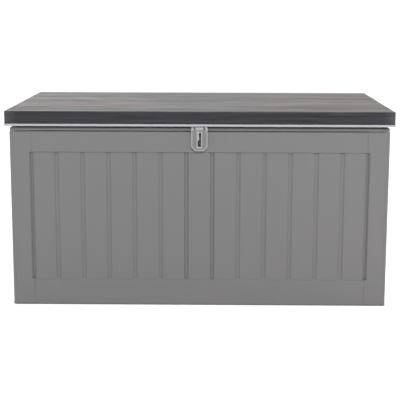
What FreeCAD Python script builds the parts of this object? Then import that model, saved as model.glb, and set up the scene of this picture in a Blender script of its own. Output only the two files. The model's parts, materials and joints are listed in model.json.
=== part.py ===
import FreeCAD, Part
import math
import os

# Garden storage box with a hinged lid, all sizes in millimetres.
# +X runs along the length, the front faces -Y, +Z is up.
# The origin is on the ground, under the middle of the box.

V = FreeCAD.Vector
X, Y, Z = V(1, 0, 0), V(0, 1, 0), V(0, 0, 1)

# Overall size, over the lid
LENGTH = 1220.0
DEPTH = 720.0
HEIGHT = 624.3
LID_OVERHANG = 14.5
PROUD = 3.0  # how far the hinge barrels and the padlock eye stand out past the lid

# Lid
CAP_HEIGHT = 39.7
CAP_WALL = 3.0
CAP_INSET = 1.5
CAP_TOP_ROUND = 2.0
CAP_FOOT_ROUND = 1.0
LID_CORNER = 6.0
SEAM_WIDTH = 4.0
SEAM_DEPTH = 1.8
STRIP = 6.9
STRIP_ROUND = 1.4
LINER_PLATE = 3.0
LINER_RIB = 3.0
LINER_RIB_PITCH = 115.0
LINER_RIB_ROWS = (-1.5, -0.5, 0.5, 1.5)  # in rib pitches
LIP = 3.0
LIP_DROP = 13.5
LIP_GAP = 4.0
LID_GAP = 7.1  # from the top of the walls to the underside of the lid's strip

# Wall panels
PANEL = 20.0
SKIN = 3.5
RIB = 4.0
CORNER_LIP = 9.5
PANEL_GAP = 0.3
CORNER_ROUND = 3.0
STILE = 67.2
BOARD_PITCH = 81.8
END_BOARD_CUT = 3.5  # how much narrower the end boards are
BOTTOM_RAIL = 82.0
TOP_RAIL = 65.6
RAIL_STEP = 1.2
BOARD_STEP = 2.5
STEP_SLOPE = 3.0
GROOVE_MOUTH = 16.0
GROOVE_FLOOR = 7.4
GROOVE_DEPTH = 3.0
MIDDLE_MOUTH = 13.4  # the grooves beside the middle board are steeper
MIDDLE_FLOOR = 7.0
MIDDLE_DEPTH = 3.8
END_MOUTH = 14.0
END_FLOOR = 3.4
END_FOOT = 4.0
RIM = 16.0
RIM_BAND = 7.6
RIM_GROOVE = 3.4
RIM_GROOVE_DEPTH = 8.2
RIM_GROOVE_STILE = 4.5  # its depth on the stiles
RIM_END = 17.0  # from the corner to the groove's end
RIM_CHAMFER = 1.6
RIM_STEP = 1.8
FOOT_STEP = 2.0  # height of the shadow line above the ground
FOOT_STEP_DEPTH = 6.0
FOOT_CHAMFER = 2.2
RIB_BAYS = 4
TONGUE_HEIGHT = 36.0
TONGUE_DEPTH = 5.0
TONGUE_THICK = 6.0
TONGUES = 4
SLOT_GAP = 0.3

# Finger grips in the side panels
GRIP_LENGTH = 130.0
GRIP_HEIGHT = 34.0
GRIP_DEPTH = 15.0
GRIP_ROUND = 12.0
GRIP_LIP = 6.0
GRIP_UNDERCUT = 5.0
GRIP_DROP = 9.0  # from the solid rim to the grip

# Floor
FLOOR_TOP = 34.0
FLOOR_PLATE = 4.0
FLOOR_RIB = 4.0
FLOOR_RIB_PITCH = 115.0
FLOOR_GAP = 0.3
TAB_WIDTH = 60.0
TAB_REACH = 11.0
TAB_PITCH = 210.0

# Rear hinges
HINGE_INSET = 174.0  # from the end of the wall to the middle of a hinge
BARREL_R = 8.0
HINGE_PIN_R = 3.0
PIN_GAP = 0.1
LEAF_GAP = 0.5
LEAF_THICK = 3.0
LEAF_HALF = 28.0
KNUCKLE_HALF = 12.0
BASE_HALF = 30.0
BASE_THICK = 3.0
BASE_DROP = 56.0
BASE_NECK = 4.0
BASE_ROUND = 5.0
BASE_SCREW_AT = 20.0
LEAF_SCREW_AT = 19.0
LEAF_SCREW_IN = 8.0
ARM_HEIGHT = 16.0
ARM_MEETS = (0.8, 0.6)  # where the arm meets its barrel, in barrel radii
PIN_HEAD = 2.0
PIN_HEAD_OVER = 1.5
PIN_TAIL = 1.5

# Gas struts
STRUT_RADIUS = 260.0  # both ends are this far from the lid's hinge line
STRUT_CLOSED_DEG = 70.0
TUBE_R = 7.5
TUBE_BORE_R = 6.3
ROD_R = 3.0
ROD_GAP = 0.1
PISTON_LENGTH = 7.0
GUIDE_LENGTH = 14.0
EYE_R = 7.0
EYE_THICK = 8.0
EYE_NECK_R = 4.5
EYE_REACH = 14.0
STRUT_HEAD_ROOM = 20.3  # bare rod between the closed tube and the head's eye
END_ROOM = 8.0
TUBE_ROUND = 1.2
STUD_R = 3.0
COLLAR_R = 5.2
CLIP_THICK = 1.5
SIDE_PLAY = 0.3
STRUT_INSET = 16.5
BRACKET = 3.0
LOWER_PLATE = (40.0, 56.0)
LOWER_ROUND = 6.0
LOWER_SCREW_EDGE = 7.0
UPPER_PLATE = (30.0, 48.0)
UPPER_SCREW_EDGE = 8.0
UPPER_SCREW_IN = 14.0
TAB_CLEAR = 0.5

# Hasp and padlock eye
HASP_WIDTH = 50.6
HASP_DROP = 77.0
HASP_CHAMFER = 12.4
HASP_BACK = 2.0  # from the pivot to the back of the plate
HASP_FRONT = 4.0  # from the pivot to the front of the rim
HASP_FIELD = 1.5
HASP_RIM = 3.2
HASP_BROW = 2.5  # from the barrel to the sunk field
HASP_BARREL_R = 4.5
HASP_PIN_R = 2.0
HASP_PIVOT_OUT = 5.4  # from the rail to the pivot
HASP_TOP_GAP = 0.7
LUG_AT = 15.0
LUG_WIDTH = 4.8
LUG_R = 3.8
LUG_GAP = 0.3
LUG_ROOM = 1.5
LUG_WEB = 0.7
SLOT_NARROW = 6.0
SLOT_WIDE = 10.0  # one side of the slot is straight, the other steps in
SLOT_FOOT = 13.5
SLOT_WIDE_HEIGHT = 19.8
SLOT_HEIGHT = 44.2
SLOT_BORDER = 3.6
SLOT_BORDER_FOOT = 5.6
HASP_SCREW_AT = 16.0
EYE_PLATE = 2.4
EYE_PLATE_HALF = 15.0
EYE_PLATE_FOOT = 8.0
EYE_PLATE_TOP = 3.0
EYE_PLATE_ROUND = 4.0
EYE_SCREW_AT = 9.0
EYE_PAD_HALF = 20.0
FIN_THICK = 4.0
FIN_HEIGHT = 15.5
FIN_FOOT = 16.0
FIN_CHIN = (6.0, 5.0)
FIN_BROW = 4.0
PADLOCK_R = 3.2
PADLOCK_WALL = 2.8
SLOT_POCKET = 10.0  # depth of the panel's pocket behind the slot

# Screws
SCREW_R = 2.0
SCREW_HEAD_R = 4.0
SCREW_HEAD = 2.4
SCREW_HEAD_TAPER = 0.7
SINK_DEPTH = 2.0
SCREW_GAP = 0.08
WALL_SCREW = 14.0
LID_SCREW = 7.0
LID_SCREW_COLUMNS = (-3.5, -1.5, 1.5, 3.5)  # in rib pitches
LID_SCREW_ROWS = (-1.0, 1.0)
POST_R = 6.0

# Places that follow from the sizes above
BODY_L = LENGTH - 2 * LID_OVERHANG
BODY_D = DEPTH - 2 * LID_OVERHANG
STRIP_TOP = HEIGHT - CAP_HEIGHT
STRIP_FOOT = STRIP_TOP - STRIP
BODY_H = STRIP_FOOT - LID_GAP
INNER_X = BODY_L / 2 - PANEL
INNER_Y = BODY_D / 2 - PANEL
GROOVE_TOP = BODY_H - RIM_BAND
RAIL_TOP = GROOVE_TOP - RIM_GROOVE
BOARD_TOP = RAIL_TOP - TOP_RAIL
BOARD_FACE = RAIL_STEP + BOARD_STEP
GROOVE_FACE = BOARD_FACE + GROOVE_DEPTH
RAIL_Y = BODY_D / 2 - RAIL_STEP
GRIP_TOP = BODY_H - RIM - GRIP_DROP
LIP_X = INNER_X - LIP_GAP
LIP_Y = INNER_Y - LIP_GAP
LINER_FACE = STRIP_TOP - LINER_PLATE
HINGE_PITCH = BODY_L / 2 - HINGE_INSET
HINGE_Y = DEPTH / 2 + PROUD - BARREL_R
HINGE_Z = STRIP_FOOT - LEAF_THICK - LEAF_GAP - BARREL_R
STRUT_X = INNER_X - STRUT_INSET
HASP_Y = -(RAIL_Y + HASP_PIVOT_OUT)
HASP_Z = STRIP_FOOT - HASP_TOP_GAP - HASP_BARREL_R
HASP_FOOT = HASP_Z + HASP_BARREL_R - HASP_DROP


def box(x0, x1, y0, y1, z0, z1):
    return Part.makeBox(x1 - x0, y1 - y0, z1 - z0, V(x0, y0, z0))


def prism(points, along):
    """A polygon pushed along a vector."""
    wire = Part.makePolygon(points + [points[0]])
    return Part.Face(wire).extrude(along)


def across(points, x0, x1):
    """A polygon of (y, z) points, from x0 to x1."""
    return prism([V(x0, y, z) for y, z in points], V(x1 - x0, 0, 0))


def upright(points, z0, z1):
    """A polygon of (x, y) points, from z0 to z1."""
    return prism([V(x, y, z0) for x, y in points], V(0, 0, z1 - z0))


def bar(radius, start, end):
    """A round bar between two points."""
    run = end - start
    return Part.makeCylinder(radius, run.Length, start, run)


def both_sides(make):
    """The right-hand piece and its mirror image on the left."""
    right = make()
    left = right.mirror(V(0, 0, 0), X)
    return {"right": right, "left": left}


def join(shapes):
    first = shapes[0]
    if len(shapes) > 1:
        first = first.multiFuse(shapes[1:])
    return first.removeSplitter()


def round_edges(shape, radius, wanted):
    edges = [e for e in shape.Edges if wanted(e.BoundBox)]
    return shape.makeFillet(radius, edges)


def rounded_slab(length, depth, z0, z1, corner):
    slab = box(-length / 2, length / 2, -depth / 2, depth / 2, z0, z1)
    return round_edges(slab, corner, lambda b: b.ZLength > (z1 - z0) / 2)


# Screws: the head's seat, the way in, and the shank's length


def pan_screw(seat, way, length):
    head = Part.makeCone(SCREW_HEAD_R, SCREW_HEAD_R * SCREW_HEAD_TAPER, SCREW_HEAD, seat, way * -1)
    return join([head, bar(SCREW_R, seat, seat + way * length)])


def flat_screw(seat, way, length):
    """A countersunk screw, its head level with the seat."""
    head = Part.makeCone(SCREW_HEAD_R, SCREW_R, SINK_DEPTH, seat, way)
    return join([head, bar(SCREW_R, seat, seat + way * length)])


def screw_hole(seat, way, length):
    return bar(SCREW_R + SCREW_GAP, seat - way, seat + way * (length + 1))


def sink_hole(seat, way, length):
    """The hole and countersink of a flat screw."""
    wide = SCREW_HEAD_R + SCREW_GAP
    sink = Part.makeCone(wide, SCREW_R + SCREW_GAP, SINK_DEPTH, seat, way)
    return Part.Compound([sink, screw_hole(seat, way, length)])


def screws(kind, places, way, length):
    return Part.Compound([kind(p, way, length) for p in places])


# Wall panels, drawn with the outer face on y = 0 looking towards -Y


def board_lines(width):
    """Where the grooves between the moulded boards run."""
    half = width / 2 - STILE
    boards = max(2, round(2 * half / BOARD_PITCH))
    pitch = 2 * (half + END_BOARD_CUT) / boards
    inner = [pitch * (i - boards / 2) for i in range(1, boards)]
    return [-half] + inner + [half]


def groove_size(at):
    """Half the mouth, half the floor and the depth of the groove there."""
    if abs(at) < BOARD_PITCH:
        return MIDDLE_MOUTH / 2, MIDDLE_FLOOR / 2, MIDDLE_DEPTH
    return GROOVE_MOUTH / 2, GROOVE_FLOOR / 2, GROOVE_DEPTH


def outer_relief(lines, reach):
    """What the mould takes off the outer face: rails, boards, grooves and the rim's groove."""
    left, right = lines[0], lines[-1]
    over = RAIL_STEP
    rails = upright(
        [(left - over, -over), (left + over, RAIL_STEP), (right - over, RAIL_STEP),
         (right + over, -over)],
        -1, BODY_H + 1)
    boards = across(
        [(RAIL_STEP - 1, BOTTOM_RAIL - STEP_SLOPE), (RAIL_STEP, BOTTOM_RAIL - STEP_SLOPE),
         (BOARD_FACE, BOTTOM_RAIL), (BOARD_FACE, BOARD_TOP), (RAIL_STEP, BOARD_TOP + 1),
         (RAIL_STEP - 1, BOARD_TOP + 1)],
        left, right)
    grooves = []
    for at in lines[1:-1]:
        mouth, floor, depth = groove_size(at)
        face, foot = BOARD_FACE + depth, BOTTOM_RAIL + mouth
        outline = [(at - mouth, BOARD_FACE), (at - floor, face), (at + floor, face),
                   (at + mouth, BOARD_FACE)]
        grooves += [upright(outline, foot, BOARD_TOP),
                    Part.makeCone(mouth, floor, depth, V(at, BOARD_FACE, foot), Y)]
    mouth, floor = END_MOUTH / 2, END_FLOOR / 2
    for at, side in ((left, -1), (right, 1)):
        outline = [(at + side * mouth, 0), (at + side * floor, GROOVE_FACE),
                   (at - side * floor, GROOVE_FACE), (at - side * mouth, BOARD_FACE), (at, 0)]
        grooves.append(upright(outline, BOTTOM_RAIL + END_FOOT, BOARD_TOP))
    band = box(-reach, reach, -1, RIM_STEP, RAIL_TOP, BODY_H + 1)
    return ([rails, boards, band, foot_step(reach)] + grooves
            + [rim_groove(right + RAIL_STEP, RIM_GROOVE_DEPTH),
               rim_groove(right + STILE - RIM_END, RIM_GROOVE_STILE)])


def rim_groove(half, depth):
    """The groove under the rim, with its lower edge broken."""
    edge = RAIL_STEP + RIM_CHAMFER
    return across(
        [(-1, RAIL_TOP - edge - 1), (edge, RAIL_TOP), (depth, RAIL_TOP), (depth, GROOVE_TOP),
         (-1, GROOVE_TOP)],
        -half, half)


def foot_step(reach):
    """What sets a wall's foot back from its face."""
    edge = FOOT_STEP + FOOT_CHAMFER
    return across(
        [(-1, -1), (FOOT_STEP_DEPTH, -1), (FOOT_STEP_DEPTH, FOOT_STEP),
         (FOOT_CHAMFER, FOOT_STEP), (0, edge), (-1, edge + 1)],
        -reach, reach)


def rib_levels():
    """Heights of the bays between the ribs on the back of a panel, with True where boards are."""
    seat = FLOOR_TOP - FLOOR_PLATE
    low, high = BOTTOM_RAIL + RIB / 2, BOARD_TOP - RIB
    step = (high - low) / RIB_BAYS
    bays = [(FOOT_STEP + SKIN, seat - RIB, False),
            (seat, BOTTOM_RAIL - STEP_SLOPE - RIB, False)]
    bays += [(low + step * i, low + step * (i + 1) - RIB, True) for i in range(RIB_BAYS)]
    bays.append((BOARD_TOP + RIB / 2, BODY_H - RIM, False))
    return bays


def inner_hollow(lines, reach, pads):
    """The open bays on the back of a panel, which leave an even skin, ribs and solid pads."""
    rail_back = RAIL_STEP + SKIN
    board_back = BOARD_FACE + SKIN
    ridged = [(-reach, PANEL + 1), (-reach, rail_back)]
    for at in lines:
        foot, floor, depth = groove_size(at)
        crest, ridge_back = floor + SKIN / 2, board_back + depth
        before = rail_back if at == lines[0] else board_back
        after = rail_back if at == lines[-1] else board_back
        ridged += [(at - foot, before), (at - crest, ridge_back), (at + crest, ridge_back),
                   (at + foot, after)]
    ridged += [(reach, rail_back), (reach, PANEL + 1)]
    bays = []
    for z0, z1, boards in rib_levels():
        if boards:
            bays.append(upright(ridged, z0, z1))
        else:
            bays.append(box(-reach, reach, rail_back, PANEL + 1, z0, z1))
    solid = [box(x0, x1, -1, PANEL + 2, z0, z1) for x0, x1, z0, z1 in pads]
    for at in lines[1:len(lines) // 2:2]:
        for x in (at, -at):
            solid.append(box(x - RIB / 2, x + RIB / 2, -1, PANEL + 2,
                             BOTTOM_RAIL, BOARD_TOP))
    return Part.Compound(bays).cut(Part.Compound(solid))


def tongue_levels():
    step = (BODY_H - RIM) / TONGUES
    return [step * (i + 0.5) for i in range(TONGUES)]


def tongue(x, side, gap):
    """A tongue on a long panel's end, or with a gap the slot that takes it."""
    mid = (PANEL + RAIL_STEP) / 2
    thick, tall = TONGUE_THICK / 2 + gap, TONGUE_HEIGHT / 2 + gap
    x0, x1 = sorted((x - side * 0.5 * (1 - gap), x + side * (TONGUE_DEPTH + gap)))
    return [box(x0, x1, mid - thick, mid + thick, z - tall, z + tall)
            for z in tongue_levels()]


def long_panel(pads):
    """The front or back panel, between the lips of the side panels."""
    width = BODY_L - 2 * (CORNER_LIP + PANEL_GAP)
    lines = board_lines(BODY_L)
    panel = box(-width / 2, width / 2, 0, PANEL, 0, BODY_H)
    panel = panel.cut(Part.Compound(outer_relief(lines, width)))
    panel = panel.cut(inner_hollow(lines, width / 2 - RIB, pads))
    ends = tongue(width / 2, 1, 0) + tongue(-width / 2, -1, 0)
    return join([panel] + ends)


def side_blank():
    """A side panel's outline, with the thin lips that cover the long panels' ends."""
    half, step = BODY_D / 2, INNER_Y - PANEL_GAP
    slab = box(-half, half, 0, PANEL, 0, BODY_H)
    slab = round_edges(slab, CORNER_ROUND,
                       lambda b: b.YMax < 0.1 and b.ZLength > BODY_H / 2)
    cuts = [box(step, BODY_D, CORNER_LIP, PANEL + 1, -1, BODY_H + 1),
            box(-BODY_D, -step, CORNER_LIP, PANEL + 1, -1, BODY_H + 1),
            placed(foot_step(BODY_D), 90, V(half, 0, 0)),
            placed(foot_step(BODY_D), -90, V(-half, 0, 0))]
    return slab.cut(Part.Compound(cuts))


def finger_grip():
    """The recess for a hand, deeper behind its top edge."""
    half = GRIP_LENGTH / 2
    mouth = box(-half, half, -1, GRIP_DEPTH, GRIP_TOP - GRIP_HEIGHT, GRIP_TOP)
    mouth = round_edges(mouth, GRIP_ROUND, lambda b: b.YLength > GRIP_DEPTH / 2)
    hold = box(-half + GRIP_ROUND, half - GRIP_ROUND, GRIP_LIP, GRIP_DEPTH,
               GRIP_TOP - GRIP_ROUND, GRIP_TOP + GRIP_UNDERCUT)
    return mouth.fuse(hold)


def slots_in_lips():
    """Slots that take the long panels' tongues, in the side panel's own frame."""
    mid = (PANEL + RAIL_STEP) / 2
    thick, tall = TONGUE_THICK / 2 + SLOT_GAP, TONGUE_HEIGHT / 2 + SLOT_GAP
    depth = CORNER_LIP + PANEL_GAP - TONGUE_DEPTH - SLOT_GAP
    cuts = []
    for side in (1, -1):
        centre = side * (BODY_D / 2 - mid)
        for z in tongue_levels():
            cuts.append(box(centre - thick, centre + thick, depth, CORNER_LIP + 1,
                            z - tall, z + tall))
    return Part.Compound(cuts)


def side_panel(strut_at):
    """A side panel. strut_at is where the strut's bracket sits, as (x, z) in this frame."""
    lines = board_lines(BODY_D)
    half = GRIP_LENGTH / 2 + RIB
    x, z = strut_at
    wide, tall = LOWER_PLATE[0] / 2 + RIB, LOWER_PLATE[1] / 2 + RIB
    pads = [(-half, half, GRIP_TOP - GRIP_HEIGHT - RIB, BODY_H - RIM + 1),
            (x - wide, x + wide, z - tall, z + tall)]
    panel = side_blank()
    panel = panel.cut(Part.Compound(outer_relief(lines, BODY_D)))
    panel = panel.cut(inner_hollow(lines, INNER_Y - PANEL_GAP - RIB, pads))
    panel = panel.cut(finger_grip())
    return panel.cut(slots_in_lips())


def placed(panel, turn, shift):
    panel = panel.copy()
    panel.rotate(V(0, 0, 0), Z, turn)
    panel.translate(shift)
    return panel


# Floor


def floor_panel():
    half_x, half_y = INNER_X - FLOOR_GAP, INNER_Y - FLOOR_GAP
    seat = FLOOR_TOP - FLOOR_PLATE
    parts = [box(-half_x, half_x, -half_y, half_y, seat, FLOOR_TOP)]
    parts += [box(x - FLOOR_RIB / 2, x + FLOOR_RIB / 2, -half_y, half_y, 0, seat)
              for x in spread(half_x - FLOOR_RIB, FLOOR_RIB_PITCH)]
    parts += [box(-half_x, half_x, y - FLOOR_RIB / 2, y + FLOOR_RIB / 2, 0, seat)
              for y in spread(half_y - FLOOR_RIB, FLOOR_RIB_PITCH)]
    reach_x, reach_y = half_x + TAB_REACH, half_y + TAB_REACH
    wide = TAB_WIDTH / 2
    parts += [box(x - wide, x + wide, -reach_y, reach_y, seat, FLOOR_TOP)
              for x in spread(half_x - wide, TAB_PITCH)]
    parts += [box(-reach_x, reach_x, y - wide, y + wide, seat, FLOOR_TOP)
              for y in spread(half_y - wide, TAB_PITCH)]
    return join(parts)


def spread(half, pitch):
    """Even places across a width, one of them in the middle."""
    count = int(half // pitch)
    return [pitch * i for i in range(-count, count + 1)]


# Rear hinges


def hinge_axis(x0, x1, radius):
    return bar(radius, V(x0, HINGE_Y, HINGE_Z), V(x1, HINGE_Y, HINGE_Z))


def base_screw_places(x):
    """Two screws at the plate's foot and one between the knuckles."""
    high = HINGE_Z - BARREL_R * 2 - SCREW_HEAD_R * 2
    low = HINGE_Z - BASE_DROP + SCREW_HEAD_R * 2
    seat = RAIL_Y + BASE_THICK
    return [V(x - BASE_SCREW_AT, seat, low), V(x + BASE_SCREW_AT, seat, low),
            V(x, seat, high)]


def hinge_base(x):
    """The plate screwed to the back panel, with two knuckles."""
    y0, y1 = RAIL_Y, RAIL_Y + BASE_THICK
    top = HINGE_Z - BARREL_R - BASE_NECK
    plate = box(x - BASE_HALF, x + BASE_HALF, y0, y1, HINGE_Z - BASE_DROP, top)
    plate = round_edges(plate, BASE_ROUND,
                        lambda b: b.YLength > BASE_THICK / 2 and b.XLength < 0.1)
    out, down = ARM_MEETS
    arm = [(y1 - 1, top - ARM_HEIGHT), (y1 - 1, top), (HINGE_Y - BARREL_R + 1, HINGE_Z),
           (HINGE_Y, HINGE_Z), (HINGE_Y + BARREL_R * out, HINGE_Z - BARREL_R * down)]
    parts = [plate]
    for x0, x1 in ((x - BASE_HALF, x - KNUCKLE_HALF), (x + KNUCKLE_HALF, x + BASE_HALF)):
        parts += [across(arm, x0, x1), hinge_axis(x0, x1, BARREL_R)]
    solid = join(parts)
    solid = solid.cut(hinge_axis(x - LENGTH, x + LENGTH, HINGE_PIN_R + PIN_GAP))
    for seat in base_screw_places(x):
        solid = solid.cut(screw_hole(seat, Y * -1, WALL_SCREW))
    return solid


def leaf_screw_places(x):
    y = INNER_Y + LEAF_SCREW_IN
    return [V(x + dx, y, STRIP_FOOT - LEAF_THICK)
            for dx in (-LEAF_SCREW_AT, 0.0, LEAF_SCREW_AT)]


def hinge_leaf(x):
    """The plate under the lid's strip, with the knuckle between the base's two."""
    z0, z1 = STRIP_FOOT - LEAF_THICK, STRIP_FOOT
    plate = box(x - LEAF_HALF, x + LEAF_HALF, INNER_Y - 1, DEPTH / 2 - 1, z0, z1)
    half = KNUCKLE_HALF - LEAF_GAP
    web = box(x - half, x + half, HINGE_Y - BARREL_R, DEPTH / 2 - 1, HINGE_Z, z1)
    solid = join([plate, web, hinge_axis(x - half, x + half, BARREL_R)])
    solid = solid.cut(hinge_axis(x - LENGTH, x + LENGTH, HINGE_PIN_R + PIN_GAP))
    for seat in leaf_screw_places(x):
        solid = solid.cut(sink_hole(seat, Z, LID_SCREW))
    return solid


def hinge_pin(x):
    """A plain pin with a low head at one end."""
    head = hinge_axis(x - BASE_HALF - PIN_HEAD, x - BASE_HALF, HINGE_PIN_R + PIN_HEAD_OVER)
    return join([head, hinge_axis(x - BASE_HALF, x + BASE_HALF + PIN_TAIL, HINGE_PIN_R)])


# Gas struts, drawn for the right-hand side


def strut_point(degrees):
    """A point on the struts' circle about the lid's hinge line, degrees below the lid."""
    a = math.radians(degrees)
    y = HINGE_Y - STRUT_RADIUS * math.cos(a)
    z = HINGE_Z - STRUT_RADIUS * math.sin(a)
    return V(STRUT_X, y, z)


FOOT_POINT = strut_point(STRUT_CLOSED_DEG)
HEAD_POINT = strut_point(0.0)
STRUT_WAY = (HEAD_POINT - FOOT_POINT).normalize()
STRUT_CLOSED = (HEAD_POINT - FOOT_POINT).Length
TUBE_LENGTH = STRUT_CLOSED - 2 * EYE_REACH - STRUT_HEAD_ROOM
ROD_FOOT = EYE_REACH + END_ROOM


def along(distance):
    """A point on the closed strut, that far from its foot."""
    return FOOT_POINT + STRUT_WAY * distance


def strut_cylinder():
    mouth = EYE_REACH + TUBE_LENGTH
    tube = bar(TUBE_R, along(EYE_REACH), along(mouth))
    tube = round_edges(tube, TUBE_ROUND, lambda b: b.DiagonalLength < TUBE_R * 3)
    chamber = bar(TUBE_BORE_R, along(EYE_REACH + END_ROOM / 2), along(mouth - GUIDE_LENGTH))
    guide = bar(ROD_R + ROD_GAP, along(mouth - GUIDE_LENGTH - 1), along(mouth + 1))
    return tube.cut(chamber.fuse(guide))


def strut_rod():
    rod = bar(ROD_R, along(ROD_FOOT), along(STRUT_CLOSED - EYE_REACH))
    piston = bar(TUBE_BORE_R - ROD_GAP, along(ROD_FOOT), along(ROD_FOOT + PISTON_LENGTH))
    return join([rod, piston])


def strut_eye(centre, way):
    """The moulded eye at one end of a strut."""
    half = X * (EYE_THICK / 2)
    ring = bar(EYE_R, centre - half, centre + half)
    neck = bar(EYE_NECK_R, centre, centre + way * EYE_REACH)
    neck = neck.common(bar(EYE_REACH + 1, centre - half, centre + half))
    hole = bar(STUD_R + PIN_GAP, centre - half * 2, centre + half * 2)
    return join([ring, neck]).cut(hole)


def stud(centre, seat_x):
    """The pin that an eye turns on, with its collar and clip."""
    inner = centre.x - EYE_THICK / 2 - SIDE_PLAY
    outer = centre.x + EYE_THICK / 2 + SIDE_PLAY
    spans = [(STUD_R, inner - CLIP_THICK - 1, seat_x), (COLLAR_R, outer, seat_x),
             (COLLAR_R, inner - CLIP_THICK, inner)]
    return [bar(radius, V(x0, centre.y, centre.z), V(x1, centre.y, centre.z))
            for radius, x0, x1 in spans]


def lower_screw_places():
    dy, dz = (size / 2 - LOWER_SCREW_EDGE for size in LOWER_PLATE)
    x = INNER_X - BRACKET
    return [V(x, FOOT_POINT.y + a * dy, FOOT_POINT.z + b * dz)
            for a in (-1, 1) for b in (-1, 1)]


def lower_bracket():
    """The plate on the side panel that carries the strut's foot."""
    half_y, half_z = LOWER_PLATE[0] / 2, LOWER_PLATE[1] / 2
    plate = box(INNER_X - BRACKET, INNER_X, FOOT_POINT.y - half_y, FOOT_POINT.y + half_y,
                FOOT_POINT.z - half_z, FOOT_POINT.z + half_z)
    plate = round_edges(plate, LOWER_ROUND, lambda b: b.XLength > BRACKET / 2)
    solid = join([plate] + stud(FOOT_POINT, INNER_X - BRACKET / 2))
    for seat in lower_screw_places():
        solid = solid.cut(screw_hole(seat, X, WALL_SCREW))
    return solid


def upper_screw_places():
    reach = UPPER_PLATE[1] / 2 - UPPER_SCREW_EDGE
    return [V(STRUT_X - UPPER_SCREW_IN, HEAD_POINT.y + dy, LINER_FACE - BRACKET)
            for dy in (-reach, reach)]


def upper_bracket():
    """The angle under the lid that carries the strut's head."""
    tab_x0 = STRUT_X + EYE_THICK / 2 + SIDE_PLAY + TAB_CLEAR
    tab_x1 = tab_x0 + BRACKET
    half = UPPER_PLATE[1] / 2
    y, z = HEAD_POINT.y, HEAD_POINT.z
    flange = box(tab_x1 - UPPER_PLATE[0], tab_x1, y - half, y + half,
                 LINER_FACE - BRACKET, LINER_FACE)
    tab = prism([V(tab_x0, y - half, LINER_FACE), V(tab_x0, y - half, LINER_FACE - BRACKET),
                 V(tab_x0, y - EYE_R, z - EYE_R), V(tab_x0, y + EYE_R, z - EYE_R),
                 V(tab_x0, y + half, LINER_FACE - BRACKET), V(tab_x0, y + half, LINER_FACE)],
                X * BRACKET)
    solid = join([flange, tab] + stud(HEAD_POINT, tab_x0 + BRACKET / 2))
    for seat in upper_screw_places():
        solid = solid.cut(screw_hole(seat, Z, LID_SCREW))
    return solid


# Lid


def lid_screw_places():
    step = LINER_RIB_PITCH
    return [V(a * step, b * step, LINER_FACE)
            for a in LID_SCREW_COLUMNS for b in LID_SCREW_ROWS]


def lid_cap():
    """The outer shell of the lid, moulded as two wide planks."""
    length, depth = LENGTH - 2 * CAP_INSET, DEPTH - 2 * CAP_INSET
    corner = LID_CORNER - CAP_INSET
    shell = rounded_slab(length, depth, STRIP_TOP, HEIGHT, corner)
    shell = round_edges(shell, CAP_TOP_ROUND, lambda b: b.ZMin > HEIGHT - 0.1)
    shell = round_edges(shell, CAP_FOOT_ROUND, lambda b: b.ZMax < STRIP_TOP + 0.1)
    hollow = rounded_slab(length - 2 * CAP_WALL, depth - 2 * CAP_WALL, STRIP_TOP - 1,
                          HEIGHT - CAP_WALL, corner - CAP_WALL)
    seam = across([(-SEAM_WIDTH / 2, HEIGHT + 0.01), (0, HEIGHT - SEAM_DEPTH),
                   (SEAM_WIDTH / 2, HEIGHT + 0.01)], -LENGTH, LENGTH)
    shell = shell.cut(hollow.fuse(seam))
    posts = [bar(POST_R, V(p.x, p.y, STRIP_TOP), V(p.x, p.y, HEIGHT - CAP_WALL / 2))
             for p in lid_screw_places()]
    shell = join([shell] + posts)
    holes = [screw_hole(p, Z, WALL_SCREW) for p in lid_screw_places()]
    return shell.cut(Part.Compound(holes))


def lid_liner(up_holes):
    """The inner shell: the strip all round, the ribbed plate and the lip inside the walls."""
    slab = rounded_slab(LENGTH, DEPTH, STRIP_FOOT, STRIP_TOP, LID_CORNER)
    slab = round_edges(slab, STRIP_ROUND, lambda b: b.ZLength < 0.1)
    in_x, in_y = LIP_X - LIP, LIP_Y - LIP
    pocket = box(-in_x, in_x, -in_y, in_y, STRIP_FOOT - 1, LINER_FACE)
    ring = box(-LIP_X, LIP_X, -LIP_Y, LIP_Y, STRIP_FOOT - LIP_DROP, STRIP_FOOT + 1)
    ring = round_edges(ring, LIP * 2, lambda b: b.ZLength > LIP)
    hole = box(-in_x, in_x, -in_y, in_y, STRIP_FOOT - LIP_DROP - 1, STRIP_FOOT + 2)
    hole = round_edges(hole, LIP, lambda b: b.ZLength > LIP)
    rib_end = STRUT_X - UPPER_PLATE[0]
    half = LINER_RIB / 2
    ribs = [box(x - half, x + half, -in_y - 1, in_y + 1, STRIP_FOOT, LINER_FACE + 1)
            for x in spread(rib_end, LINER_RIB_PITCH)]
    last = max(spread(rib_end, LINER_RIB_PITCH))
    ribs += [box(-last, last, y - half, y + half, STRIP_FOOT, LINER_FACE + 1)
             for y in (row * LINER_RIB_PITCH for row in LINER_RIB_ROWS)]
    solid = join([slab.cut(pocket), ring.cut(hole)] + ribs)
    return solid.cut(Part.Compound(up_holes))


# Hasp, its bracket and the padlock eye


def hasp_axis(x0, x1, radius):
    return bar(radius, V(x0, HASP_Y, HASP_Z), V(x1, HASP_Y, HASP_Z))


def hasp_outline(inset, y0, y1, foot, top):
    """The hasp's plate, with its lower corners cut off."""
    half = HASP_WIDTH / 2 - inset
    cut = HASP_CHAMFER - inset * (math.sqrt(2) - 1)
    points = [(-half, top), (-half, foot + cut), (-half + cut, foot), (half - cut, foot),
              (half, foot + cut), (half, top)]
    return prism([V(x, y0, z) for x, z in points], V(0, y1 - y0, 0))


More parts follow.
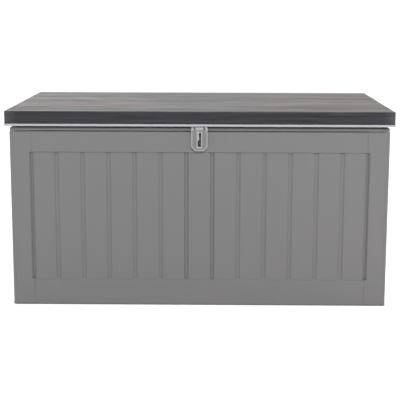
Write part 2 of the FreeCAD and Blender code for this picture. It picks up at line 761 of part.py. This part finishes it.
def hasp():
    back, front = HASP_Y + HASP_BACK, HASP_Y - HASP_FRONT
    plate = hasp_outline(0, back, front, HASP_FOOT, HASP_Z)
    plate = plate.cut(hasp_outline(HASP_RIM, front + HASP_FIELD, front - 1,
                                   HASP_FOOT + HASP_RIM,
                                   HASP_Z - HASP_BARREL_R - HASP_BROW))
    slot_foot = HASP_FOOT + SLOT_FOOT
    wide = SLOT_WIDE / 2 + SLOT_BORDER
    boss = box(-wide, wide, front, back, slot_foot - SLOT_BORDER_FOOT,
               slot_foot + SLOT_HEIGHT + SLOT_BORDER)
    barrel = hasp_axis(-HASP_WIDTH / 2, HASP_WIDTH / 2, HASP_BARREL_R)
    solid = join([plate, boss, barrel])
    slots = [box(SLOT_WIDE / 2 - SLOT_NARROW, SLOT_WIDE / 2, front - 1, back + 1,
                 slot_foot, slot_foot + SLOT_HEIGHT),
             box(-SLOT_WIDE / 2, SLOT_WIDE / 2, front - 1, back + 1,
                 slot_foot, slot_foot + SLOT_WIDE_HEIGHT)]
    room = LUG_WIDTH / 2 + LUG_GAP
    slots += [box(at - room, at + room, HASP_Y - HASP_BARREL_R - 1, HASP_Y + HASP_BARREL_R + 1,
                  HASP_Z - HASP_BARREL_R - LUG_ROOM, HASP_Z + HASP_BARREL_R + 1)
              for at in (-LUG_AT, LUG_AT)]
    slots.append(hasp_axis(-LENGTH, LENGTH, HASP_PIN_R + PIN_GAP))
    for cut in slots:
        solid = solid.cut(cut)
    return solid


def hasp_pin():
    return hasp_axis(-HASP_WIDTH / 2, HASP_WIDTH / 2, HASP_PIN_R)


def hasp_screw_places():
    y = -(INNER_Y + PANEL / 2 - 1)
    return [V(x, y, STRIP_FOOT - EYE_PLATE) for x in (-HASP_SCREW_AT, 0.0, HASP_SCREW_AT)]


def hasp_bracket():
    """The plate under the lid's strip, with the two lugs that hold the hasp's pin."""
    z0 = STRIP_FOOT - EYE_PLATE
    front = HASP_Y + HASP_BARREL_R + LUG_WEB
    plate = box(-HASP_WIDTH / 2, HASP_WIDTH / 2, front, -INNER_Y + 1, z0, STRIP_FOOT)
    arm = [(HASP_Y, HASP_Z - LUG_R), (front + LUG_WEB, z0 - LUG_ROOM), (front + LUG_WEB, STRIP_FOOT),
           (HASP_Y, HASP_Z + LUG_R)]
    parts = [plate]
    for at in (-LUG_AT, LUG_AT):
        x0, x1 = at - LUG_WIDTH / 2, at + LUG_WIDTH / 2
        parts += [across(arm, x0, x1), hasp_axis(x0, x1, LUG_R)]
    solid = join(parts)
    solid = solid.cut(hasp_axis(-LENGTH, LENGTH, HASP_PIN_R + PIN_GAP))
    for seat in hasp_screw_places():
        solid = solid.cut(sink_hole(seat, Z, LID_SCREW))
    return solid


def eye_screw_places():
    y = -(RAIL_Y + EYE_PLATE)
    z = HASP_FOOT + FIN_FOOT + FIN_HEIGHT / 2
    return [V(x, y, z) for x in (-EYE_SCREW_AT, EYE_SCREW_AT)]


def padlock_eye():
    """The fin that comes through the hasp's slot, with a hole for a padlock."""
    y0 = -RAIL_Y
    y1 = y0 - EYE_PLATE
    tip = -(DEPTH / 2 + PROUD)
    foot = HASP_FOOT + FIN_FOOT
    top = foot + FIN_HEIGHT
    plate = box(-EYE_PLATE_HALF, EYE_PLATE_HALF, y1, y0, foot - EYE_PLATE_FOOT,
                top + EYE_PLATE_TOP)
    plate = round_edges(plate, EYE_PLATE_ROUND,
                        lambda b: b.YLength > EYE_PLATE / 2 and b.XLength < 0.1)
    chin_y, chin_z = FIN_CHIN
    fin = across([(y1 + 1, foot), (tip + chin_y, foot), (tip, foot + chin_z),
                  (tip, top - FIN_BROW), (tip + FIN_BROW, top), (y1 + 1, top)],
                 -FIN_THICK / 2, FIN_THICK / 2)
    solid = join([plate, fin])
    hole_y = tip + PADLOCK_WALL + PADLOCK_R
    hole_z = foot + FIN_HEIGHT / 2
    solid = solid.cut(bar(PADLOCK_R, V(-FIN_THICK, hole_y, hole_z),
                          V(FIN_THICK, hole_y, hole_z)))
    for seat in eye_screw_places():
        solid = solid.cut(sink_hole(seat, Y, WALL_SCREW))
    return solid


# Put the box together

HINGE_PLACES = {"left": -HINGE_PITCH, "centre": 0.0, "right": HINGE_PITCH}


def walls():
    front = long_panel([(-EYE_PAD_HALF, EYE_PAD_HALF, BOARD_TOP - RIB, BODY_H - RIM + 1)])
    front = placed(front, 0, V(0, -BODY_D / 2, 0)).cut(slot_pocket())
    for seat in eye_screw_places():
        front = front.cut(screw_hole(seat, Y, WALL_SCREW))
    wide = BASE_HALF + RIB
    pads = [(x - wide, x + wide, HINGE_Z - BASE_DROP - RIB, BODY_H - RIM + 1)
            for x in HINGE_PLACES.values()]
    back = placed(long_panel(pads), 180, V(0, BODY_D / 2, 0))
    for x in HINGE_PLACES.values():
        for seat in base_screw_places(x):
            back = back.cut(screw_hole(seat, Y * -1, WALL_SCREW))
    right = placed(side_panel((FOOT_POINT.y, FOOT_POINT.z)), 90, V(BODY_L / 2, 0, 0))
    for seat in lower_screw_places():
        right = right.cut(screw_hole(seat, X, WALL_SCREW))
    left = right.mirror(V(0, 0, 0), X)
    return {"front_panel": front, "back_panel": back,
            "right_side_panel": right, "left_side_panel": left}


def slot_pocket():
    """Room in the front panel behind the hasp's slot, above the padlock eye's plate."""
    low = HASP_FOOT + FIN_FOOT + FIN_HEIGHT + EYE_PLATE_TOP + EYE_PLATE / 2
    high = HASP_FOOT + SLOT_FOOT + SLOT_HEIGHT
    return box(-SLOT_WIDE / 2, SLOT_WIDE / 2, -BODY_D / 2 - 1, -RAIL_Y + SLOT_POCKET, low, high)


def mirrored(places):
    return [V(-p.x, p.y, p.z) for p in places]


def box_parts():
    nodes = {"floor_panel": floor_panel()}
    nodes.update(walls())
    base_places, leaf_places = [], []
    for side, x in HINGE_PLACES.items():
        nodes[side + "_hinge_base"] = hinge_base(x)
        nodes[side + "_hinge_leaf"] = hinge_leaf(x)
        nodes[side + "_hinge_pin"] = hinge_pin(x)
        base_places += base_screw_places(x)
        leaf_places += leaf_screw_places(x)
    nodes["hinge_base_screws"] = screws(pan_screw, base_places, Y * -1, WALL_SCREW)
    nodes["hinge_leaf_screws"] = screws(flat_screw, leaf_places, Z, LID_SCREW)
    for name, make in (("strut_cylinder", strut_cylinder), ("strut_rod", strut_rod),
                       ("strut_foot_eye", lambda: strut_eye(FOOT_POINT, STRUT_WAY)),
                       ("strut_head_eye", lambda: strut_eye(HEAD_POINT, STRUT_WAY * -1)),
                       ("strut_lower_bracket", lower_bracket),
                       ("strut_upper_bracket", upper_bracket)):
        for side, shape in both_sides(make).items():
            nodes[side + "_" + name] = shape
    low, high = lower_screw_places(), upper_screw_places()
    nodes["strut_lower_screws"] = Part.Compound(
        [pan_screw(p, X, WALL_SCREW) for p in low]
        + [pan_screw(p, X * -1, WALL_SCREW) for p in mirrored(low)])
    nodes["strut_upper_screws"] = screws(pan_screw, high + mirrored(high), Z, LID_SCREW)
    up_holes = [screw_hole(p, Z, LID_SCREW)
                for p in leaf_places + high + mirrored(high) + hasp_screw_places()]
    up_holes += [screw_hole(p, Z, WALL_SCREW) for p in lid_screw_places()]
    nodes["lid_cap"] = lid_cap()
    nodes["lid_liner"] = lid_liner(up_holes)
    nodes["lid_screws"] = screws(pan_screw, lid_screw_places(), Z, WALL_SCREW)
    nodes["hasp"] = hasp()
    nodes["hasp_pin"] = hasp_pin()
    nodes["hasp_bracket"] = hasp_bracket()
    nodes["hasp_bracket_screws"] = screws(flat_screw, hasp_screw_places(), Z, LID_SCREW)
    nodes["padlock_eye"] = padlock_eye()
    nodes["padlock_eye_screws"] = screws(flat_screw, eye_screw_places(), Y, WALL_SCREW)
    return nodes


os.makedirs("parts", exist_ok=True)
for node, shape in box_parts().items():
    shape.exportStep("parts/" + node + ".step")
    solids = [s.isValid() for s in shape.Solids]
    print(node, len(solids), all(solids), round(shape.Volume))
print("lid hinge", HINGE_Y, HINGE_Z)
print("strut foot", tuple(FOOT_POINT), "head", tuple(HEAD_POINT), "closed", STRUT_CLOSED)
print("hasp pivot", HASP_Y, HASP_Z)
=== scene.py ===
import json
import math

import bpy
from mathutils import Matrix, Vector

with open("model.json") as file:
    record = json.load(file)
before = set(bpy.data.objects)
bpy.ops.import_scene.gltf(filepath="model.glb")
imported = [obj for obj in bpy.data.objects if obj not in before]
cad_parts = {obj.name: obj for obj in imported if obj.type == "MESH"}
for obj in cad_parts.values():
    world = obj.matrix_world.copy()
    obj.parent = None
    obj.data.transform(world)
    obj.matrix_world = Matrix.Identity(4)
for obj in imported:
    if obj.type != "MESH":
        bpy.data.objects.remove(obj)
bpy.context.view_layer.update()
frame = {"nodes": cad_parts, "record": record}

# Garden storage box: finishes, floor, light and camera. All sizes in metres.

# Photograph's view
FRAME_PX = 400
FOCAL_PX = 1077.7
SENSOR_MM = 36.0
SIGHT_END = 100.0
CAMERA_AT = Vector((0.042, -3.694, 0.9586))
CAMERA_DOWN = math.radians(10.41)
CAMERA_LEFT = math.radians(0.68)
CAMERA_ROLL = math.radians(0.14)

# Light. A turn says where, along one axis of a direction, the one value gives way to the other
WORLD_LIGHT = 0.13  # from the key's side of the room
WORLD_BACK = 0.85  # from the side behind the box, which the key doesn't reach
WORLD_TURN = (-0.2, 0.6)
WORLD_SEEN = 1.05  # what the camera sees, just over white
MIRROR_LEFT = 1.22  # what glossy surfaces mirror, from the left of the room
MIRROR_RIGHT = 0.89  # and from its right
MIRROR_TURN = (-0.2, 0.1)
LAMPS = (  # name, place, what it points at, power, size
    ("key", (0.45, -4.8, 3.9), (0.0, 0.0, 0.4), 158.0, 1.0),
    ("right_fill", (1.5, -0.95, 0.3), (0.45, -0.35, 0.3), 1.7, 0.5),
    ("left_fill", (-1.5, -0.95, 0.3), (-0.45, -0.35, 0.3), 1.0, 0.5),
)
FLOOR_SIZE = 14.0
FLOOR_GLOW = 0.85  # added where the floor is looked at, so that it reads white
CONTACT = 0.013  # how far the painted contact shadow reaches into that glow
CONTACT_POWER = 2.0

# Colours, linear
WALL_GREY = (0.238, 0.234, 0.235)
WALL_WARM = (0.242, 0.235, 0.236)
CAP_DARK = (0.0, 0.0, 0.001)
CAP_LIGHT = (0.026, 0.024, 0.036)
CAP_BROWN = (0.100, 0.062, 0.052)
CAP_END_HIGHLIGHT = (0.068, 0.066, 0.072)  # painted highlight of a rounded corner at the ends of the lid's edge, broken up by swirled grain
STRIP_PALE = (0.605, 0.605, 0.619)
# The hasp's raised rims take the silver as painted highlight, its sunk field the darker grey as
# painted shade
HASP_SILVER = (0.52, 0.515, 0.515)
HASP_SHADED_FIELD = (0.27, 0.265, 0.265)
STEEL = (0.62, 0.62, 0.63)
BRACKET_GREY = (0.18, 0.18, 0.185)
BLACK = (0.02, 0.02, 0.022)
SOFT_BLACK = (0.03, 0.03, 0.03)
FLOOR_WHITE = (0.93, 0.93, 0.93)
PURE_WHITE = (1.0, 1.0, 1.0)

# Moulded plastic
# Painted shade: moulded colours are darkened by ambient occlusion in crevices, grooves and
# corners
PAINTED_CREVICE_SHADE = 0.38  # painted shade: what would be left of a colour in a closed corner
PAINTED_CREVICE_LEAST = 0.6  # how open the deepest corner counts, so that the painted shade there stays lighter
PAINTED_CREVICE_REACH = 0.012
SHEEN_SCALE = 9.0
PATCH_SCALE = 2.3
PLASTIC_SHEEN = 0.03  # how far the roughness strays to either side
METAL_SHEEN = 0.06

# Wood grain. Each layer is noise, stretched by these factors along X, Y and Z
BAND_STRETCH = (1.3, 24.0, 80.0)
RING_STRETCH = (0.8, 6.5, 6.5)
FIBRE_STRETCH = (3.2, 130.0, 130.0)
PORE_STRETCH = (7.0, 300.0, 300.0)
TINT_STRETCH = (1.6, 9.0, 9.0)
SWIRL_STRETCH = (70.0, 25.0, 90.0)
RING_COUNT = 95.0
PLANK_SHIFT_X = 5.3  # how far along the noise the second plank is cut
PLANK_SHIFT_Z = 2.1
FINE_RANGE = (0.35, 0.65)  # the part of a fine layer's range that is used
TINT_RANGE = (0.41, 0.58)
PORE_RANGE = (0.34, 0.46)
PORE_DEPTH = 0.6  # how far the fine pores darken the grain
TINT_AMOUNT = 0.9
TINT_MIDDLE = (0.06, 0.26, 0.35, 1.0)  # from this |x| to that one, tint from this to that
# Painted highlight at the ends of the lid's edge, standing in for light on a rounded corner
CAP_END_X = 0.606
CAP_END_HIGHLIGHT_WIDTH = 0.034
SWIRL_AMOUNT = (0.55, 1.45)
CAP_ROUGHNESS = (0.46, 0.29)  # in the dark streaks and in the light ones
CAP_SHINE = 0.43
CAP_RELIEF = 0.0012

# Where the hasp's faces lie, along Y, between which its painted shade gives way to painted
# highlight
HASP_RIM_Y = -0.3537
HASP_FIELD_Y = -0.3522


# Node helpers


class Tree:
    """Adds nodes to a tree and joins them, one short call per node."""

    def __init__(self, tree):
        self.tree = tree

    def add(self, kind, inputs=(), **settings):
        node = self.tree.nodes.new(kind)
        for name, value in settings.items():
            setattr(node, name, value)
        for key, value in dict(inputs).items():
            self.feed(node.inputs[key], value)
        return node

    def feed(self, socket, value):
        if isinstance(value, bpy.types.NodeSocket):
            self.tree.links.new(value, socket)
        else:
            socket.default_value = value

    def place(self, kind="Object"):
        return self.add("ShaderNodeTexCoord").outputs[kind]

    def split(self, vector):
        return self.add("ShaderNodeSeparateXYZ", {0: vector}).outputs

    def math(self, operation, a, b=0.0):
        return self.add("ShaderNodeMath", {0: a, 1: b}, operation=operation).outputs[0]

    def add_up(self, *shares):
        """The sum of (value, factor) pairs."""
        total = None
        for value, factor in shares:
            part = self.math("MULTIPLY", value, factor)
            total = part if total is None else self.math("ADD", total, part)
        return total

    def vector_math(self, operation, a, b):
        return self.add("ShaderNodeVectorMath", {0: a, 1: b}, operation=operation).outputs[0]

    def noise(self, vector, scale, detail=2.0, roughness=0.5, distortion=0.0):
        node = self.add("ShaderNodeTexNoise", {
            "Vector": vector, "Scale": scale, "Detail": detail,
            "Roughness": roughness, "Distortion": distortion})
        return node.outputs["Fac"]

    def mix(self, factor, a, b):
        node = self.add("ShaderNodeMix", data_type="RGBA")
        self.feed(node.inputs[0], factor)
        self.feed(node.inputs[6], a)
        self.feed(node.inputs[7], b)
        return node.outputs[2]

    def span(self, value, from_low, from_high, to_low=0.0, to_high=1.0):
        """The value, moved from one range to another and held inside it."""
        node = self.add("ShaderNodeMapRange", {
            "Value": value, "From Min": from_low, "From Max": from_high,
            "To Min": to_low, "To Max": to_high})
        return node.outputs["Result"]


def new_group(name, inputs, outputs):
    """A shader node group with named float inputs and outputs, still without its nodes."""
    tree = bpy.data.node_groups.new(name, "ShaderNodeTree")
    for label, default in inputs:
        socket = tree.interface.new_socket(label, in_out="INPUT", socket_type="NodeSocketFloat")
        socket.default_value = default
    for label in outputs:
        tree.interface.new_socket(label, in_out="OUTPUT", socket_type="NodeSocketFloat")
    build = Tree(tree)
    source = build.add("NodeGroupInput").outputs
    sink = build.add("NodeGroupOutput").inputs
    return build, source, sink


def moulded_texture_group():
    """The fine spark-eroded grain that a mould leaves on plastic, its uneven sheen, and how open
    each point is to light, for painted shade in crevices and corners.
    """
    build, source, sink = new_group(
        "moulded_texture", [("Grain Size", 1100.0)], ["Height", "Sheen", "Patch", "Clear Of Painted Shade"])
    place = build.place()
    fine = build.noise(place, source["Grain Size"], roughness=0.6)
    broad = build.noise(place, SHEEN_SCALE, detail=3.0, roughness=0.55)
    patches = build.noise(place, PATCH_SCALE)
    # Ambient occlusion of the piece itself, for painted shade in crevices and corners
    crevice_occlusion = build.add("ShaderNodeAmbientOcclusion", {"Distance": PAINTED_CREVICE_REACH}, only_local=True)
    build.feed(sink["Height"], fine)
    build.feed(sink["Sheen"], build.span(broad, 0.3, 0.7, -1.0, 1.0))
    build.feed(sink["Patch"], build.span(patches, *FINE_RANGE))
    build.feed(sink["Clear Of Painted Shade"], build.math("MAXIMUM", crevice_occlusion.outputs["AO"], PAINTED_CREVICE_LEAST))
    return build.tree


def plank_grain_group():
    """Moulded wood grain along the length, with a different cut on each of the two planks, and a
    painted highlight at the lid's ends.
    """
    build, source, sink = new_group(
        "plank_grain", [("Scale", 1.0)], ["Height", "Streak", "Tint", "Pore", "End"])
    place = build.place()
    parts = build.split(place)
    plank = build.math("GREATER_THAN", parts["Y"], 0.0)
    shift = build.add("ShaderNodeCombineXYZ", {
        0: build.math("MULTIPLY", plank, PLANK_SHIFT_X),
        2: build.math("MULTIPLY", plank, PLANK_SHIFT_Z)}).outputs[0]
    at = build.vector_math("ADD", place, shift)

    def layer(stretch, scale=source["Scale"], **settings):
        return build.noise(build.vector_math("MULTIPLY", at, stretch), scale, **settings)

    bands = layer(BAND_STRETCH, detail=5.0, roughness=0.62, distortion=0.5)
    ring_field = layer(RING_STRETCH, roughness=0.45, distortion=0.25)
    fibres = layer(FIBRE_STRETCH, detail=3.0, roughness=0.6, distortion=0.3)
    pores = layer(PORE_STRETCH, roughness=0.6)
    patches = layer(TINT_STRETCH, scale=1.0)
    swirl = layer(SWIRL_STRETCH, scale=1.0, distortion=1.5)

    rings = build.math("SINE", build.math("MULTIPLY", ring_field, RING_COUNT))
    rings = build.span(rings, -1.0, 1.0)
    build.feed(sink["Height"], build.add_up((bands, 0.45), (rings, 0.3), (pores, 0.35)))

    streak = build.add_up((build.span(bands, 0.3, 0.7), 0.42), (rings, 0.18),
                          (build.span(fibres, *FINE_RANGE), 0.22),
                          (build.span(pores, *FINE_RANGE), 0.18))
    build.feed(sink["Streak"], build.span(streak, 0.25, 0.75))
    build.feed(sink["Pore"], build.span(pores, *PORE_RANGE))

    # Brown tints lie on the top alone, and are weaker in its middle
    up = build.split(build.place("Normal"))["Z"]
    on_top = build.math("GREATER_THAN", up, 0.5)
    across = build.math("ABSOLUTE", parts["X"])
    tint = build.add_up((patches, 1.0), (build.math("SUBTRACT", bands, 0.5), 0.5),
                        (build.math("SUBTRACT", fibres, 0.5), 0.35))
    tint = build.math("MULTIPLY", build.span(tint, *TINT_RANGE), on_top)
    build.feed(sink["Tint"], build.math("MULTIPLY", tint, build.span(across, *TINT_MIDDLE)))

    # Painted highlight of a rounded corner at the lid's ends, broken up by swirled grain, lies on
    # the upright faces alone
    end_highlight = build.span(across, CAP_END_X - CAP_END_HIGHLIGHT_WIDTH, CAP_END_X)
    end_highlight = build.math("MULTIPLY", end_highlight, build.span(swirl, 0.3, 0.7, *SWIRL_AMOUNT))
    upright = build.math("SUBTRACT", 1.0, on_top)
    build.feed(sink["End"], build.math("MULTIPLY", end_highlight, upright))
    return build.tree


def rgba(colour):
    return (*colour, 1.0)


def start_material(name, colour, roughness, metallic=0.0):
    material = bpy.data.materials.new(name)
    material.use_nodes = True
    shader = material.node_tree.nodes["Principled BSDF"].inputs
    shader["Base Color"].default_value = rgba(colour)
    shader["Roughness"].default_value = roughness
    shader["Metallic"].default_value = metallic
    return material, Tree(material.node_tree), shader


def place_texture(build, grain_size):
    group = build.add("ShaderNodeGroup", node_tree=GROUPS["texture"])
    build.feed(group.inputs["Grain Size"], grain_size)
    return group.outputs


def add_bump(build, shader, height, depth):
    bump = build.add("ShaderNodeBump", {"Height": height, "Distance": depth})
    build.feed(shader["Normal"], bump.outputs["Normal"])


def add_sheen(build, shader, texture, roughness, amount):
    sheen = build.math("MULTIPLY", texture["Sheen"], amount)
    build.feed(shader["Roughness"], build.math("ADD", sheen, roughness))


def moulded_plastic(name, colour, second, roughness, grain_size, depth):
    """Matt plastic with the mould's grain, a little uneven in colour and sheen, and painted shade
    darkening it in crevices and corners.
    """
    material, build, shader = start_material(name, colour, roughness)
    texture = place_texture(build, grain_size)
    plain = build.mix(texture["Patch"], rgba(colour), rgba(second))
    # Painted shade: the colour darkens where the surface is closed in
    painted_shade = rgba([part * PAINTED_CREVICE_SHADE for part in colour])
    build.feed(shader["Base Color"], build.mix(texture["Clear Of Painted Shade"], painted_shade, plain))
    add_sheen(build, shader, texture, roughness, PLASTIC_SHEEN)
    add_bump(build, shader, texture["Height"], depth)
    return material


def metal(name, colour, roughness, grain_size, depth):
    material, build, shader = start_material(name, colour, roughness, metallic=1.0)
    texture = place_texture(build, grain_size)
    add_sheen(build, shader, texture, roughness, METAL_SHEEN)
    add_bump(build, shader, texture["Height"], depth)
    return material


def wood_grain_plastic(name, roughness):
    """The lid's dark shell: charcoal streaks with brown tints, in relief, with painted highlight
    at its ends.
    """
    material, build, shader = start_material(name, CAP_DARK, roughness)
    grain = build.add("ShaderNodeGroup", node_tree=GROUPS["grain"]).outputs
    colour = build.mix(grain["Streak"], rgba(CAP_DARK), rgba(CAP_LIGHT))
    tint = build.math("MULTIPLY", grain["Tint"], TINT_AMOUNT)
    colour = build.mix(tint, colour, rgba(CAP_BROWN))
    # Painted highlight at the ends of the lid's edge
    colour = build.mix(grain["End"], colour, rgba(CAP_END_HIGHLIGHT))
    pore = build.span(grain["Pore"], 0.0, 1.0, PORE_DEPTH, 0.0)
    build.feed(shader["Base Color"], build.mix(pore, colour, rgba(CAP_DARK)))
    build.feed(shader["Roughness"], build.span(grain["Streak"], 0.0, 1.0, *CAP_ROUGHNESS))
    shader["Specular IOR Level"].default_value = CAP_SHINE
    add_bump(build, shader, grain["Height"], CAP_RELIEF)
    return material


def hasp_plastic(name, roughness, grain_size, depth):
    """Silver-grey plastic, with painted highlight on the raised rims and painted shade in the
    sunk field.
    """
    material, build, shader = start_material(name, HASP_SILVER, roughness)
    texture = place_texture(build, grain_size)
    out = build.split(build.place())["Y"]
    # Painted highlight where the hasp stands out, painted shade where it is sunk
    raised = build.span(out, HASP_FIELD_Y, HASP_RIM_Y)
    build.feed(shader["Base Color"], build.mix(raised, rgba(HASP_SHADED_FIELD), rgba(HASP_SILVER)))
    add_bump(build, shader, texture["Height"], depth)
    return material


# Floor, light and camera


def add_to_scene(name, data):
    item = bpy.data.objects.new(name, data)
    bpy.context.scene.collection.objects.link(item)
    return item


def white_floor():
    """A floor that keeps the box's shade and reads white where it is looked at, with a painted
    contact shadow dimming that white close to the box.
    """
    bpy.ops.mesh.primitive_plane_add(size=FLOOR_SIZE, location=(0, 0, 0))
    floor = bpy.context.object
    floor.name = "studio_floor"
    material, build, shader = start_material("studio_floor", FLOOR_WHITE, 0.9)
    shader["Specular IOR Level"].default_value = 0.0
    shader["Emission Color"].default_value = rgba(PURE_WHITE)
    rays = build.add("ShaderNodeLightPath").outputs
    seen = build.math("MAXIMUM", rays["Is Camera Ray"], rays["Is Glossy Ray"])
    seen = build.math("MAXIMUM", seen, rays["Is Transmission Ray"])
    # Ambient occlusion dims the glow close to the box: a painted contact shadow
    painted_contact_open = build.add("ShaderNodeAmbientOcclusion", {"Distance": CONTACT}).outputs["AO"]
    glow = build.math("MULTIPLY", build.math("POWER", painted_contact_open, CONTACT_POWER), FLOOR_GLOW)
    build.feed(shader["Emission Strength"], build.math("MULTIPLY", seen, glow))
    floor.data.materials.append(material)


def studio_world():
    """White where it is looked at, graded from left to right where it is mirrored, and as a
    light weaker on the key's side."""
    world = bpy.data.worlds.new("studio")
    bpy.context.scene.world = world
    world.use_nodes = True
    build = Tree(world.node_tree)
    background = world.node_tree.nodes["Background"].inputs
    background["Color"].default_value = rgba(PURE_WHITE)
    rays = build.add("ShaderNodeLightPath").outputs
    way = build.split(build.place("Generated"))
    light = build.span(way["Y"], *WORLD_TURN, WORLD_LIGHT, WORLD_BACK)
    mirror = build.span(way["X"], *MIRROR_TURN, MIRROR_LEFT, MIRROR_RIGHT)
    mirrored = build.math("MAXIMUM", rays["Is Glossy Ray"], rays["Is Transmission Ray"])
    strength = build.span(mirrored, 0.0, 1.0, light, mirror)
    strength = build.span(rays["Is Camera Ray"], 0.0, 1.0, strength, WORLD_SEEN)
    build.feed(background["Strength"], strength)


def studio_lamps():
    for name, at, target, power, size in LAMPS:
        data = bpy.data.lights.new(name, "AREA")
        data.energy = power
        data.size = size
        lamp = add_to_scene(name, data)
        lamp.visible_camera = False
        lamp.location = at
        aim = Vector(target) - Vector(at)
        lamp.rotation_euler = aim.to_track_quat("-Z", "Y").to_euler()


def photo_camera():
    data = bpy.data.cameras.new("photo")
    data.sensor_width = SENSOR_MM
    data.lens = SENSOR_MM * FOCAL_PX / FRAME_PX
    data.clip_end = SIGHT_END
    camera = add_to_scene("photo", data)
    ahead = Vector((-math.sin(CAMERA_LEFT) * math.cos(CAMERA_DOWN),
                    math.cos(CAMERA_LEFT) * math.cos(CAMERA_DOWN),
                    -math.sin(CAMERA_DOWN)))
    level = Vector((math.cos(CAMERA_LEFT), math.sin(CAMERA_LEFT), 0))
    above = level.cross(ahead)
    right = level * math.cos(CAMERA_ROLL) + above * math.sin(CAMERA_ROLL)
    up = above * math.cos(CAMERA_ROLL) - level * math.sin(CAMERA_ROLL)
    turn = Matrix((right, up, -ahead)).transposed()
    camera.matrix_world = Matrix.Translation(CAMERA_AT) @ turn.to_4x4()
    bpy.context.scene.camera = camera


# Finishes for the pieces that come from the frame. They are the whole of the visual model:
# each piece keeps its CAD mesh and its body

GROUPS = {"texture": moulded_texture_group(), "grain": plank_grain_group()}

FINISHES = {  # by the record's material slot
    "wall_plastic": moulded_plastic(
        "wall_plastic", WALL_GREY, WALL_WARM, roughness=0.55, grain_size=1100.0, depth=0.00010),
    "lid_shell": wood_grain_plastic("lid_wood_grain", roughness=0.34),
    "pale_liner": moulded_plastic(
        "pale_liner", STRIP_PALE, STRIP_PALE, roughness=0.5, grain_size=1100.0, depth=0.00006),
    "silver_plastic": hasp_plastic(
        "silver_plastic", roughness=0.36, grain_size=1500.0, depth=0.00004),
    "bright_steel": metal(
        "bright_steel", STEEL, roughness=0.28, grain_size=900.0, depth=0.00003),
    "zinc_steel": moulded_plastic(
        "bracket_powder_coat", BRACKET_GREY, BRACKET_GREY, roughness=0.45, grain_size=1600.0,
        depth=0.00005),
    "black_enamel": moulded_plastic(
        "black_enamel", BLACK, BLACK, roughness=0.2, grain_size=500.0, depth=0.00001),
    "black_plastic": moulded_plastic(
        "black_plastic", SOFT_BLACK, SOFT_BLACK, roughness=0.5, grain_size=1400.0, depth=0.00005),
}


def finish_frame_nodes():
    for part in frame["record"]["subparts"]:
        node = frame["nodes"][part["node"]]
        finish = FINISHES[part["material_slot"]]
        for slot in node.material_slots:
            slot.material = finish


finish_frame_nodes()
white_floor()
studio_world()
studio_lamps()
photo_camera()
bpy.context.scene.view_settings.view_transform = "Standard"
